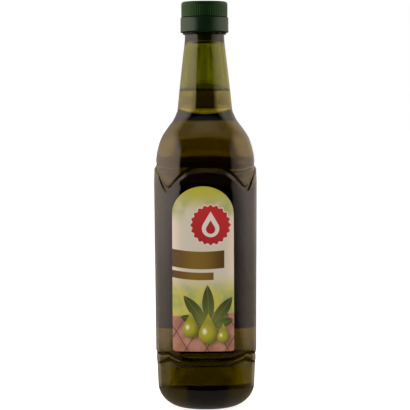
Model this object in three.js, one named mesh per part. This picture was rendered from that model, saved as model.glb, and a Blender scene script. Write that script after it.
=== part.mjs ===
// A one-litre olive oil bottle: a tinted plastic bottle with four arched panels, the oil in it,
// a pourer plugged into its neck, a ribbed screw cap, its sealing band, and a front and a back label.
// Millimetres, +Z up. The origin is the middle of the base, on the surface that the bottle stands on.
// The front label faces -Y.
import * as THREE from "three";

// Heights above the base
const HEIGHT = 304.5;
const FILL_HEIGHT = 238.0;
const NECK_CONE_TOP = 275.0;
const FINISH_FOOT = 276.4;
const BASE_TOP = 34.0;

// Bottle wall
const WALL = 0.8;
const FINISH_WALL = 2.0;
const BASE_WALL = 1.2;

// Round neck, and the bead on it right under the sealing band
const NECK_RADIUS = 14.8;
const NECK_BEAD_FOOT = 280.1;
const NECK_BEAD_TOP = 281.1;
const NECK_BEAD_RADIUS = 16.4;
const NECK_BEAD_EDGE = 0.3;

// Outline of the shoulder from the neck down to the arches: height and half width
const SHOULDER = [
  [NECK_CONE_TOP, 14.9],
  [249, 17.9],
  [226.4, 20.3],
  [218.2, 22.6],
  [211.0, 27.4],
  [203.3, 32.5],
  [193.8, 35.6],
  [183.8, 36.9],
  [150, 37.0],
];

// The cross-section is round where its power is 2, and a softly rounded square above that
const SQUARE_POWER = 2.7;
const ROUND_FROM = 226;
const SQUARE_FROM = 160;

// Panels: half width across the faces at the top and the foot, and the heights where these are measured
const PANEL_TOP = { height: 169, half: 38.45 };
const PANEL_FOOT = { height: 45, half: 37.65 };

// Arches over the panels: the lip's height at a face's middle, and how far it drops to the corner
const ARCH_CREST = 177.4;
const ARCH_DROP = 19.3;
const ARCH_STEEPNESS = 1.28;
const ARCH_POWER = 2.3;
const ARCH_LEVELLING = 10;

// Groove that runs round above the arches, and the lip that steps out below it
const GROOVE_DEPTH = 0.45;
const GROOVE_CENTRE = 4.8;
const GROOVE_HALF = 2.6;
const LIP_START = 3.9;
const LIP_END = 0.6;
const LIP_SHARE = 0.8;
const LIP_FADE = 9;

// Lower groove between the panels and the base, with a low ridge under it: the heights of its two lines at
// the front, the corner and the side
const UPPER_LINE = { front: 37.7, corner: 42.6, side: 40.9 };
const LOWER_LINE = { front: 34.0, corner: 38.0, side: 34.4 };
const LINE_POWER = 4;
const NOTCH_DEPTH = 0.75;
const NOTCH_REACH = 3.4;
const RIDGE_HEIGHT = 0.7;

// Base: half width at its top, the rounded heel, the flat ring that it stands on, and the push-up,
// whose dimple is the ring of its slope that the dome starts from
const BASE_HALF = 36.8;
const BASE_POWER = 2.5;
const HEEL_HALF = 36.15;
const HEEL_HEIGHT = 18.4;
const RING_OUTER = 15.2;
const RING_INNER = 12.6;
const PUSH_UP = 4;
const DIMPLE = { radius: 7, height: 3.4 };
const OUTER_HEEL_STEPS = 6;
const INNER_HEEL_STEPS = 4;

// Cap and sealing band
const CAP_FOOT = 293.1;
const CAP_RADIUS = 17.35;
const CAP_EDGE = 1.8;
const CAP_TOP_WALL = 1.6;
const RIBS = 60;
const RIB_DEPTH = 0.45;
const RIB_TOP_GAP = 1.8;
const RIB_FOOT_GAP = 0.9;
const CAP_BORE = 15.2;
const BAND_FOOT = 281.5;
const BAND_TOP = 292.8;
const BAND_RADIUS = 18.15;
const BAND_EDGE = 0.5;
const MOUTH_GAP = 0.5;

// Pourer in the mouth of the bottle
const POURER_FOOT = 276.0;
const POURER_GAP = 0.3;
const POURER_BORE = 9.5;

// Labels: half width, foot, the height where the arched top springs, and the arch's rise
const FRONT_LABEL = { side: -1, shift: -3.1, half: 22.6, foot: 46.0, spring: 147.2, rise: 20.3 };
const BACK_LABEL = { side: 1, shift: 0, half: 22.6, foot: 57.3, spring: 147.2, rise: 20.3 };
const LABEL_GAP = 0.3;
const LABEL_THICKNESS = 0.2;
const LABEL_CORNER = 2;
const LABEL_COLUMNS = 12;
const LABEL_ROWS = 9;

// Room between the oil and the wall
const OIL_GAP = 0.5;

// Sides of the round and rounded-square skins
const SIDES = 48;
const BORE_SIDES = 60;

const MOUTH = HEIGHT - CAP_TOP_WALL - MOUTH_GAP;
const FINISH_BORE = NECK_RADIUS - FINISH_WALL;
const QUARTER = Math.PI / 2;

const mix = (a, b, t) => a + (b - a) * t;
const clamp = (t) => Math.min(1, Math.max(0, t));
const smooth = (t) => clamp(t) ** 2 * (3 - 2 * clamp(t));

// Smooth curve through knots of falling height: the half width at a height
function along(knots, height) {
  const last = knots.length - 1;
  const slope = (i) => {
    const a = knots[Math.max(0, i - 1)];
    const b = knots[Math.min(last, i + 1)];
    return (b[1] - a[1]) / (b[0] - a[0]);
  };
  const h = Math.min(knots[0][0], Math.max(knots[last][0], height));
  let i = 0;
  while (i < last - 1 && h < knots[i + 1][0]) i += 1;
  const [h0, r0] = knots[i];
  const [h1, r1] = knots[i + 1];
  const span = h1 - h0;
  const t = (h - h0) / span;
  const bend0 = slope(i) * span;
  const bend1 = slope(i + 1) * span;
  return (
    r0 * (1 + 2 * t) * (1 - t) ** 2 +
    bend0 * t * (1 - t) ** 2 +
    r1 * (3 - 2 * t) * t ** 2 +
    bend1 * (t - 1) * t ** 2
  );
}

// Radius of a section of half width 1 at an angle, round or squarish by its power
function section(angle, power) {
  const c = Math.abs(Math.cos(angle));
  const s = Math.abs(Math.sin(angle));
  return (c ** power + s ** power) ** (-1 / power);
}

// How far an angle is from the middle of its face: 0 there, and 1 at the corner
function sideways(angle) {
  const turned = Math.abs(angle - QUARTER * Math.round(angle / QUARTER));
  const across = (a) => section(a, SQUARE_POWER) * Math.sin(a);
  return across(turned) / across(QUARTER / 2);
}

// Height of the arches' lip
function archLine(angle) {
  const drop = ARCH_STEEPNESS * sideways(angle) ** ARCH_POWER;
  const levelled = drop / (1 + drop ** ARCH_LEVELLING) ** (1 / ARCH_LEVELLING);
  return ARCH_CREST - ARCH_DROP * levelled;
}

// Height of one of the two lines of the lower groove
function lowerLine(angle, line) {
  const facesSide = Math.abs(Math.cos(angle)) > Math.abs(Math.sin(angle));
  const middle = facesSide ? line.side : line.front;
  return mix(middle, line.corner, sideways(angle) ** LINE_POWER);
}

function panelRadius(angle, height) {
  const t = (height - PANEL_FOOT.height) / (PANEL_TOP.height - PANEL_FOOT.height);
  return mix(PANEL_FOOT.half, PANEL_TOP.half, Math.min(1, t)) * section(angle, SQUARE_POWER);
}

function shoulderRadius(angle, height) {
  const squareness = smooth((ROUND_FROM - height) / (ROUND_FROM - SQUARE_FROM));
  return along(SHOULDER, height) * section(angle, mix(2, SQUARE_POWER, squareness));
}

function baseRadius(angle, height) {
  const half = mix(HEEL_HALF, BASE_HALF, clamp((height - HEEL_HEIGHT) / (BASE_TOP - HEEL_HEIGHT)));
  return half * section(angle, mix(2, BASE_POWER, clamp(height / BASE_TOP)));
}

// Outer skin from the neck's cone down to the base
function bodyRadius(angle, height) {
  const aboveLip = height - archLine(angle);
  const upper = lowerLine(angle, UPPER_LINE);
  const lower = lowerLine(angle, LOWER_LINE);
  if (height < lower) return baseRadius(angle, height);
  if (height < upper) {
    const t = (height - lower) / (upper - lower);
    const notch = panelRadius(angle, upper) - NOTCH_DEPTH;
    return mix(baseRadius(angle, lower), notch, t) + RIDGE_HEIGHT * Math.sin(Math.PI * t);
  }
  const step =
    LIP_SHARE * smooth((LIP_START - aboveLip) / (LIP_START - LIP_END)) +
    (1 - LIP_SHARE) * smooth((LIP_END - aboveLip) / (LIP_END + LIP_FADE));
  const groove = GROOVE_DEPTH * (1 - smooth(Math.abs(aboveLip - GROOVE_CENTRE) / GROOVE_HALF));
  const notch = NOTCH_DEPTH * (1 - smooth((height - upper) / NOTCH_REACH));
  const radius = mix(shoulderRadius(angle, height), panelRadius(angle, height), step);
  return radius - groove - notch;
}

const angles = Array.from({ length: SIDES }, (_, i) => (i / SIDES) * 2 * Math.PI);
const onCircle = (angle, radius, height) =>
  new THREE.Vector3(radius * Math.cos(angle), radius * Math.sin(angle), height);

// Ring round the axis: radius and height may be numbers, or functions of the angle
function ring(radius, height, around = angles) {
  return around.map((angle) => {
    const h = typeof height === "function" ? height(angle) : height;
    const r = typeof radius === "function" ? radius(angle, h) : radius;
    return onCircle(angle, r, h);
  });
}

const pole = (height) => [new THREE.Vector3(0, 0, height)];

// Ring that stays inside a skin by a wall's thickness
const inset = (radius, wall) => (angle, height) => radius(angle, height) - wall;

// Closed surface through rings that run up the outside and down the inside.
// A ring may have one point, or a multiple of the points of its neighbour.
function loft(rings, joinEnds = false) {
  const points = rings.flat();
  const starts = [];
  rings.reduce((start, r) => (starts.push(start), start + r.length), 0);
  const faces = [];
  const push = (...triangle) => faces.push(...triangle);
  const count = joinEnds ? rings.length : rings.length - 1;
  for (let k = 0; k < count; k += 1) {
    const next = (k + 1) % rings.length;
    const [m, n] = [rings[k].length, rings[next].length];
    const low = (i) => starts[k] + (i % m);
    const high = (i) => starts[next] + (i % n);
    if (m === 1 || n === 1) {
      for (let i = 0; i < Math.max(m, n); i += 1) {
        if (m === 1) push(low(0), high(i + 1), high(i));
        else push(low(i), low(i + 1), high(0));
      }
      continue;
    }
    const [each, per] = m >= n ? [n, m / n] : [m, n / m];
    for (let i = 0; i < each; i += 1) {
      for (let j = 0; j < per; j += 1) {
        const a = i * per + j;
        if (m >= n) push(low(a), low(a + 1), high(i));
        else push(low(i), high(a + 1), high(a));
      }
      if (m >= n) push(low((i + 1) * per), high(i + 1), high(i));
      else push(low(i), low(i + 1), high((i + 1) * per));
    }
  }
  return surface(points, faces);
}

function surface(points, faces) {
  const geometry = new THREE.BufferGeometry().setFromPoints(points);
  geometry.setIndex(faces);
  geometry.computeVertexNormals();
  return geometry;
}

// Heights of the rings between two lines that wander up and down
const between = (top, foot, share) => (angle) => mix(top(angle), foot(angle), share);
const offset = (line, by) => (angle) => line(angle) + by;
const upperLine = (angle) => lowerLine(angle, UPPER_LINE);
const lowestLine = (angle) => lowerLine(angle, LOWER_LINE);

// Rings of the body, from the base's top up to the neck's cone
function bodyLines(detail) {
  const lines = detail.belowGroove.map((d) => offset(lowestLine, d));
  lines.push(...detail.bead.map((share) => between(lowestLine, upperLine, share)));
  lines.push(...detail.aboveGroove.map((d) => offset(upperLine, d)));
  const panelFoot = offset(upperLine, detail.aboveGroove.at(-1));
  const panelHead = offset(archLine, detail.lip[0]);
  lines.push(...detail.panel.map((share) => between(panelFoot, panelHead, share)));
  lines.push(...detail.lip.map((d) => offset(archLine, d)));
  const domeFoot = offset(archLine, detail.lip.at(-1));
  const domeHead = () => detail.shoulder[0];
  lines.push(...detail.dome.map((share) => between(domeFoot, domeHead, share)));
  lines.push(...detail.shoulder.map((h) => () => h));
  return lines;
}

const OUTER_DETAIL = {
  belowGroove: [-2.2, 0],
  bead: [0.25, 0.5, 0.75],
  aboveGroove: [0, 1, 2.2, 3.4],
  panel: [0.25, 0.5, 0.75],
  lip: [-9, -4, -1, 0.6, 1.7, 2.8, 3.9, 4.8, 5.8, 7.4],
  dome: [0.33, 0.67],
  shoulder: [203, 207.5, 211.2, 215, 219, 224, 237, 256, NECK_CONE_TOP],
};

const INNER_DETAIL = {
  belowGroove: [-2.2, 0],
  bead: [0.5],
  aboveGroove: [0, 3.4],
  panel: [0.5],
  lip: [-9, -1, 2, 4.2, 7.4],
  dome: [0.5],
  shoulder: [203, 209, 214, 220, 229, NECK_CONE_TOP],
};

const OIL_DETAIL = {
  belowGroove: [-2.2, 0],
  bead: [0.5],
  aboveGroove: [0, 3.4],
  panel: [0.5],
  lip: [-9, -1, 4, 7.4],
  dome: [0.5],
  shoulder: [203, 209, 214, 220, 229, FILL_HEIGHT],
};

// The heel, a quarter of an ellipse from the standing ring out to the side of the base
function heelRings(steps, wall) {
  const rings = [];
  for (let i = 1; i <= steps; i += 1) {
    const turn = (QUARTER * i) / steps;
    const height = mix(HEEL_HEIGHT, wall, Math.cos(turn));
    const out = mix(RING_OUTER, HEEL_HALF, Math.sin(turn)) / HEEL_HALF;
    rings.push(ring((angle, h) => out * baseRadius(angle, h) - wall * Math.sin(turn), height));
  }
  return rings;
}

// Base from its middle out to the heel, outside or inside
function footRings(wall) {
  return [
    pole(PUSH_UP + wall),
    ring(DIMPLE.radius, DIMPLE.height + wall),
    ring(RING_INNER, wall),
    ring(RING_OUTER, wall),
  ];
}

function bodyRings(detail, wall) {
  return bodyLines(detail).map((line) => ring(inset(bodyRadius, wall), line));
}

function bottle() {
  const outside = [
    ...footRings(0),
    ...heelRings(OUTER_HEEL_STEPS, 0),
    ...bodyRings(OUTER_DETAIL, 0),
    ring(NECK_RADIUS, FINISH_FOOT),
    ring(NECK_RADIUS, NECK_BEAD_FOOT),
    ring(NECK_BEAD_RADIUS, NECK_BEAD_FOOT + NECK_BEAD_EDGE),
    ring(NECK_BEAD_RADIUS, NECK_BEAD_TOP),
    ring(NECK_RADIUS, NECK_BEAD_TOP),
    ring(NECK_RADIUS, MOUTH),
  ];
  const inside = [
    ring(FINISH_BORE, MOUTH),
    ring(FINISH_BORE, FINISH_FOOT),
    ...bodyRings(INNER_DETAIL, WALL).reverse(),
    ...heelRings(INNER_HEEL_STEPS, BASE_WALL).reverse(),
    ...footRings(BASE_WALL).reverse(),
  ];
  return loft([...outside, ...inside]);
}

function oil() {
  const gap = WALL + OIL_GAP;
  const floor = BASE_WALL + OIL_GAP;
  return loft([
    ...footRings(floor),
    ...heelRings(INNER_HEEL_STEPS, floor),
    ...bodyRings(OIL_DETAIL, gap),
    pole(FILL_HEIGHT),
  ]);
}

// Ring whose points go in and out by a rib's depth
function ribRing(depth, height) {
  const around = Array.from({ length: 2 * RIBS }, (_, i) => (i / (2 * RIBS)) * 2 * Math.PI);
  return around.map((angle, i) => onCircle(angle, CAP_RADIUS - (i % 2) * depth, height));
}

function cap() {
  const around = Array.from({ length: BORE_SIDES }, (_, i) => (i / BORE_SIDES) * 2 * Math.PI);
  const edge = (turn) =>
    ring(CAP_RADIUS - CAP_EDGE * (1 - Math.cos(turn)), HEIGHT - CAP_EDGE * (1 - Math.sin(turn)), around);
  return loft([
    pole(HEIGHT - CAP_TOP_WALL),
    ring(CAP_BORE, HEIGHT - CAP_TOP_WALL, around),
    ring(CAP_BORE, CAP_FOOT, around),
    ribRing(0, CAP_FOOT),
    ribRing(0, CAP_FOOT + RIB_FOOT_GAP),
    ribRing(RIB_DEPTH, CAP_FOOT + RIB_FOOT_GAP + RIB_DEPTH),
    ribRing(RIB_DEPTH, HEIGHT - RIB_TOP_GAP - RIB_DEPTH),
    ribRing(0, HEIGHT - RIB_TOP_GAP),
    edge(QUARTER / 2),
    edge(QUARTER),
    pole(HEIGHT),
  ]);
}

function band() {
  const around = Array.from({ length: BORE_SIDES }, (_, i) => (i / BORE_SIDES) * 2 * Math.PI);
  return loft([
    ring(CAP_BORE, BAND_FOOT, around),
    ring(BAND_RADIUS - BAND_EDGE, BAND_FOOT, around),
    ring(BAND_RADIUS, BAND_FOOT + BAND_EDGE, around),
    ring(BAND_RADIUS, BAND_TOP - BAND_EDGE, around),
    ring(BAND_RADIUS - BAND_EDGE, BAND_TOP, around),
    ring(CAP_BORE, BAND_TOP, around),
  ], true);
}

function pourer() {
  const outer = FINISH_BORE - POURER_GAP;
  return loft([
    ring(POURER_BORE, POURER_FOOT),
    ring(outer, POURER_FOOT),
    ring(outer, MOUTH),
    ring(POURER_BORE, MOUTH),
  ], true);
}

// Point of a label at a share across and a share up, lifted off the panel
function labelPoint(label, across, up, lift) {
  const x = label.half * across;
  const inFromEdge = label.half * (1 - Math.abs(across));
  const corner = Math.max(0, LABEL_CORNER - inFromEdge);
  const foot = label.foot + LABEL_CORNER - Math.sqrt(LABEL_CORNER ** 2 - corner ** 2);
  const head = label.spring + label.rise * Math.sqrt(1 - across ** 2);
  const height = mix(foot, head, up);
  const half = panelRadius(0, height) + lift;
  const lateral = Math.abs(x + label.shift);
  const forward = (half ** SQUARE_POWER - lateral ** SQUARE_POWER) ** (1 / SQUARE_POWER);
  return new THREE.Vector3(x + label.shift, label.side * forward, height);
}

// Thin curved plate: two faces on one grid, joined round their edge
function labelPlate(label) {
  const points = [];
  const faces = [];
  const index = (layer, i, j) => (layer * (LABEL_ROWS + 1) + j) * (LABEL_COLUMNS + 1) + i;
  for (const lift of [LABEL_GAP, LABEL_GAP + LABEL_THICKNESS]) {
    for (let j = 0; j <= LABEL_ROWS; j += 1) {
      for (let i = 0; i <= LABEL_COLUMNS; i += 1) {
        const across = -Math.cos((Math.PI * i) / LABEL_COLUMNS);
        points.push(labelPoint(label, across, j / LABEL_ROWS, lift));
      }
    }
  }
  const outward = label.side < 0;
  const quad = (a, b, c, d) => {
    if (outward) faces.push(a, b, c, a, c, d);
    else faces.push(a, c, b, a, d, c);
  };
  for (let j = 0; j < LABEL_ROWS; j += 1) {
    for (let i = 0; i < LABEL_COLUMNS; i += 1) {
      quad(index(1, i, j), index(1, i + 1, j), index(1, i + 1, j + 1), index(1, i, j + 1));
      quad(index(0, i, j), index(0, i, j + 1), index(0, i + 1, j + 1), index(0, i + 1, j));
    }
  }
  for (let i = 0; i < LABEL_COLUMNS; i += 1) {
    quad(index(0, i, 0), index(0, i + 1, 0), index(1, i + 1, 0), index(1, i, 0));
    const top = LABEL_ROWS;
    quad(index(0, i + 1, top), index(0, i, top), index(1, i, top), index(1, i + 1, top));
  }
  for (let j = 0; j < LABEL_ROWS; j += 1) {
    quad(index(0, 0, j + 1), index(0, 0, j), index(1, 0, j), index(1, 0, j + 1));
    const end = LABEL_COLUMNS;
    quad(index(0, end, j), index(0, end, j + 1), index(1, end, j + 1), index(1, end, j));
  }
  return surface(points, faces);
}

const plastic = (color, roughness, opacity = 1) =>
  new THREE.MeshStandardMaterial({ color, roughness, opacity, transparent: opacity < 1, metalness: 0 });

const tinted = plastic(0x4a4410, 0.1, 0.5);
const oilGold = plastic(0x6e5a08, 0.1, 0.8);
const green = plastic(0x1d3d1a, 0.45);
const dark = plastic(0x0e1410, 0.5);
const paper = plastic(0xb9b07a, 0.4);
const plainPaper = plastic(0xb8b19c, 0.5);

const group = new THREE.Group();

function add(name, geometry, material) {
  const mesh = new THREE.Mesh(geometry, material);
  mesh.name = name;
  group.add(mesh);
}

add("bottle", bottle(), tinted);
add("oil", oil(), oilGold);
add("pourer", pourer(), dark);
add("cap", cap(), green);
add("cap_band", band(), green);
add("front_label", labelPlate(FRONT_LABEL), paper);
add("back_label", labelPlate(BACK_LABEL), plainPaper);

export default group;
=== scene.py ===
# A one-litre olive oil bottle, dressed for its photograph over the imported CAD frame.
# Shapes are in millimetres, as in the part's source, and become metres when a mesh is made.
import math

import bpy
import numpy as np
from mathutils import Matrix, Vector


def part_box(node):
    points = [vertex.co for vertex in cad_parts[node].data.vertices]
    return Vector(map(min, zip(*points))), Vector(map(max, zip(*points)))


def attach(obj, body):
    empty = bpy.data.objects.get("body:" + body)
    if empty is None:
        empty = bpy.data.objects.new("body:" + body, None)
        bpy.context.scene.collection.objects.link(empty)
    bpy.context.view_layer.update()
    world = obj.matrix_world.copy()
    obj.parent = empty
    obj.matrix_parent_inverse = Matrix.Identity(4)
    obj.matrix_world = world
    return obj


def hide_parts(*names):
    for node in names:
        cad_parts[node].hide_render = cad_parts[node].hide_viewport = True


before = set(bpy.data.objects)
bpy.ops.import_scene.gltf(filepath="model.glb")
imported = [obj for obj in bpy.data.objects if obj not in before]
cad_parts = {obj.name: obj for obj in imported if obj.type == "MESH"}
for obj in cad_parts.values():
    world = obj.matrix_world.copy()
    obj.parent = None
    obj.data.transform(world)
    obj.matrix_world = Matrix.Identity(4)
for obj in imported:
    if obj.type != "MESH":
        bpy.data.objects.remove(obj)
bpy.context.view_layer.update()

MM = 0.001
QUARTER = math.pi / 2

# Heights above the base
FILL_HEIGHT = 237.4
NECK_CONE_TOP = 275.0
FINISH_FOOT = 276.4
BASE_TOP = 34.0

# Bottle wall, which thickens towards the base
WALL = 0.8
FINISH_WALL = 2.0
BASE_WALL = 1.5
THICK_BELOW = 36
THIN_ABOVE = 66
NECK_RADIUS = 14.8
FINISH_BORE = NECK_RADIUS - FINISH_WALL

# Outline of the shoulder from the neck down to the arches: height and half width
SHOULDER = np.array([
    [NECK_CONE_TOP, 14.9],
    [249, 17.9],
    [226.4, 20.3],
    [223.6, 20.55],
    [221.9, 21.1],
    [218.2, 22.7],
    [215.0, 24.45],
    [211.0, 27.45],
    [203.3, 32.5],
    [193.8, 35.6],
    [183.8, 36.9],
    [150, 37.0],
])

# The cross-section is round where its power is 2, and a softly rounded square above that
ROUND_POWER = 2
SQUARE_POWER = 2.7
ROUND_FROM = 226
SQUARE_FROM = 185

# Panels: half width across the faces at the top and the foot
PANEL_TOP = {"height": 169, "half": 38.44}
PANEL_FOOT = {"height": 45, "half": 37.65}

# Arches over the panels, with the groove above them and the lip that steps out below it
ARCH_CREST = {"front": 175.8, "side": 178.5}
ARCH_FOOT = 160.6
ARCH_POWER = 3.0
ARCH_ROUNDING = 0.09
GROOVE_DEPTH = 0.45
GROOVE_CENTRE = 4.8
GROOVE_HALF = 2.6
LIP_START = 3.7
LIP_END = 1.0
LIP_SHARE = 0.8
LIP_FADE = 9

# Notch at the foot of the panels, and the low ridge between it and the base
RIDGE_TOP = {"front": 37.7, "corner": 42.6, "side": 40.9}
RIDGE_FOOT = {"front": 34.0, "corner": 38.0, "side": 34.4}
LINE_POWER = 4
NOTCH_DEPTH = 0.75
NOTCH_REACH = 3.4
RIDGE_HEIGHT = 0.35

# Base, rounded heel, standing ring and push-up
BASE_HALF = 36.8
BASE_POWER = 2.5
HEEL_HALF = 36.15
HEEL_HEIGHT = 18.4
RING_OUTER = 15.2
RING_INNER = 12.6
PUSH_UP = 4
PUSH_UP_POWER = 1.4
PUSH_UP_RINGS = (0.25, 0.5, 0.75)

# Rows of the body in each zone from the heel up, times the fineness of the outer or the inner skin
ROWS = {
    "base": 10, "ridge": 6, "notch": 6, "panel": 12, "fade": 6, "lip": 14, "skirt": 8, "dome": 14,
    "neck": 6,
}
SKIRT_TOP = 203.3
DOME_TOP = 230
OUTSIDE_FINENESS = 3
INSIDE_FINENESS = 2
OUTSIDE_HEEL_ROWS = 24
INSIDE_HEEL_ROWS = 16

# Cap and sealing band
CAP_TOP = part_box("cap")[1].z / MM
CAP_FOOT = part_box("cap")[0].z / MM
CAP_RADIUS = 17.35
CAP_EDGE = 1.8
CAP_EDGE_ROWS = 8
CAP_BORE = 15.2
CAP_TOP_WALL = 1.6
CAP_FOOT_EDGE = 0.2
CAP_FOOT_INSET = 0.25
RECESS_RADIUS = 12.6
RECESS_FLOOR_RADIUS = 12.2
RECESS_DEPTH = 0.25
RIBS = 60
POINTS_PER_RIB = 12
RIB_DEPTH = 0.25
RIB_POWER = 1.2
RIB_TOP_GAP = 2.2
RIB_FOOT_GAP = 0.5
RIB_RISE = 0.5
RIB_FALL = 0.7
RIB_FOOT_DEPTHS = (0, 0.5, 1)
RIB_TOP_DEPTHS = (1, 0.7, 0.3, 0)
BAND_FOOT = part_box("cap_band")[0].z / MM
BAND_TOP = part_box("cap_band")[1].z / MM
BAND_RADIUS = 18.15

# Bead on the neck right under the band, and the mouth, which stays just under the cap's top
BEAD_FOOT = 280.1
BEAD_TOP = 281.1
BEAD_RADIUS = 16.4
MOUTH_GAP = 0.5
MOUTH = CAP_TOP - CAP_TOP_WALL - MOUTH_GAP

# Pourer in the mouth of the bottle, which reaches just into the wall so that no air gap shows
POURER_FOOT = 275.5
POURER_REACH = 0.15
POURER_BORE = 9.5
POURER_RADIUS = FINISH_BORE + POURER_REACH

# Profiles of the turned forms, as the radius and height of each ring. Rings stand close together at the
# edges, so that smooth shading keeps the parts beside them flat.
FINISH_OUTSIDE = [
    (NECK_RADIUS, FINISH_FOOT),
    (NECK_RADIUS, FINISH_FOOT + 0.4),
    (NECK_RADIUS, BEAD_FOOT - 0.25),
    (NECK_RADIUS + 0.05, BEAD_FOOT - 0.02),
    (NECK_RADIUS + 0.3, BEAD_FOOT),
    (BEAD_RADIUS - 0.3, BEAD_FOOT + 0.1),
    (BEAD_RADIUS, BEAD_FOOT + 0.4),
    (BEAD_RADIUS, BEAD_TOP - 0.2),
    (BEAD_RADIUS - 0.2, BEAD_TOP),
    (NECK_RADIUS, BEAD_TOP),
    (NECK_RADIUS, BEAD_TOP + 0.3),
    (NECK_RADIUS, MOUTH - 0.2),
    (NECK_RADIUS - 0.2, MOUTH),
]
FINISH_INSIDE = [
    (NECK_RADIUS - WALL, POURER_FOOT - 0.35),
    (FINISH_BORE + 0.3, POURER_FOOT - 0.2),
    (FINISH_BORE, POURER_FOOT),
    (FINISH_BORE, POURER_FOOT + 0.3),
    (FINISH_BORE, MOUTH - 0.2),
    (FINISH_BORE + 0.2, MOUTH),
]
POURER_PROFILE = [
    (POURER_BORE, POURER_FOOT + 0.6),
    (POURER_BORE, POURER_FOOT + 0.3),
    (POURER_BORE + 0.3, POURER_FOOT),
    (POURER_RADIUS - 0.2, POURER_FOOT),
    (POURER_RADIUS, POURER_FOOT + 0.2),
    (POURER_RADIUS, POURER_FOOT + 0.5),
    (POURER_RADIUS, MOUTH - 0.2),
    (POURER_RADIUS - 0.2, MOUTH),
    (POURER_BORE + 0.2, MOUTH),
    (POURER_BORE, MOUTH - 0.2),
]
BAND_PROFILE = [
    (CAP_BORE, BAND_FOOT + 0.2),
    (BAND_RADIUS - 0.8, BAND_FOOT),
    (BAND_RADIUS - 0.55, BAND_FOOT + 0.05),
    (BAND_RADIUS - 0.02, BAND_FOOT + 0.7),
    (BAND_RADIUS, BAND_FOOT + 0.95),
    (BAND_RADIUS - 0.13, BAND_FOOT + 1.15),
    (BAND_RADIUS - 0.16, BAND_FOOT + 1.6),
    (BAND_RADIUS - 0.2, BAND_TOP - 0.55),
    (BAND_RADIUS - 0.3, BAND_TOP - 0.25),
    (BAND_RADIUS - 0.55, BAND_TOP - 0.05),
    (BAND_RADIUS - 0.8, BAND_TOP),
    (CAP_BORE, BAND_TOP),
]

# How far the oil reaches into the wall, and the curl of its surface where it climbs the wall
OIL_REACH = 0.15
MENISCUS_RISE = 1.9
MENISCUS_REACH = 2.6
MENISCUS_POWER = 2
MENISCUS_RINGS = (0.08, 0.2, 0.4, 0.7, 1.0)

# Labels: side of the bottle, shift off the panel's middle, half width, foot, the height where the arched
# top springs, and its rise
FRONT_LABEL = {"side": -1, "shift": -3.1, "half": 22.6, "foot": 46.0, "spring": 147.2, "rise": 20.3}
BACK_LABEL = {"side": 1, "shift": 0, "half": 22.6, "foot": 57.3, "spring": 147.2, "rise": 20.3}
LABEL_GAP = 0.06
LABEL_THICKNESS = 0.12
LABEL_CORNER = 2
LABEL_COLUMNS = 60
LABEL_ROWS = 110

# Clear materials: the absorption's colour and density carry the tint, and the haze mottles the surface
PET = {
    "ior": 1.57, "roughness": 0.01, "absorb": (0.866, 0.888, 0.04), "density": 3000,
    "haze": (0.97, 0.97, 0.95), "ripple": 0.12,
}
OIL = {
    "ior": 1.47, "roughness": 0.0, "absorb": (0.825, 0.782, 0.1), "density": 200,
    "haze": (0.98, 0.97, 0.93), "ripple": 0,
}
HAZE_SCALE = 45
HAZE_PATCHES = (0.35, 0.75)
RIPPLE_SCALE = 35
RIPPLE_DETAIL = 1
RIPPLE_SIZE = 0.001

# Faces of the bottle's inside below this height and turned up are its wet floor
WET_FLOOR_BELOW = 12

# Opaque materials
POURER_PLASTIC = {"colour": (0.002, 0.003, 0.002), "spread": 0.3, "roughness": 0.5, "grain": 0.1}
CAP_PLASTIC = {
    "colour": (0.003, 0.014, 0.003), "spread": 0.2, "roughness": 0.32, "grain": 0.12,
    "tint": (0.36, 0.86, 0.34),
}
BAND_PLASTIC = {
    "colour": (0.0018, 0.0095, 0.0018), "spread": 0.2, "roughness": 0.33, "grain": 0.12,
    "tint": (0.67, 1, 0.76), "shine": 0.7,
}
BACK_PRINT = {"colour": (0.42, 0.38, 0.22), "spread": 0.06, "roughness": 0.5, "grain": 0.15}
CLOUD_SCALE = 60
GRAIN_SCALE = 1400
GRAIN_DETAIL = 3
GRAIN_SIZE = 0.0001
CLOUD_SHARE = 0.6
MOTTLE_PATCHES = (0.3, 0.7)
ROUGHNESS_SPREAD = 0.12

# Front print: scales of its noises, and its surface
PRINT_SOFT_SCALE = 55
PRINT_FINE_SCALE = 900
PRINT_CLOUD_SCALE = 110
PRINT_ROUGHNESS = 0.34
PRINT_GRAIN = 0.12

# Colours of the front print
TOP_YELLOW = (0.37, 0.36, 0.03)
SAGE = (0.3, 0.34, 0.1)
CREAM = (0.49, 0.47, 0.375)
WARM_EDGE = (0.64, 0.55, 0.43)
MEADOW = (0.43, 0.41, 0.06)
MEADOW_SHADE = (0.24, 0.31, 0.11)
SEAL_RED = (0.33, 0.004, 0.005)
SEAL_RED_LIT = (0.4125, 0.005, 0.00625)
SEAL_CREAM = (0.58, 0.52, 0.47)
BAR_DARK = (0.075, 0.032, 0.001)
BAR_GOLD = (0.18, 0.105, 0.002)
LEAF_DARK = (0.035, 0.05, 0.006)
LEAF_LIGHT = (0.12, 0.15, 0.02)
LEAF_RIB = (0.18, 0.225, 0.03)
DROP_GREEN = (0.32, 0.31, 0.006)
DROP_SHADE = (0.075, 0.09, 0.001)
DROP_SHINE = (0.66, 0.68, 0.4)
TILE = (0.39, 0.18, 0.12)
TILE_SHADE = (0.28, 0.115, 0.07)
JOINT = (0.03, 0.013, 0.009)

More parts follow.
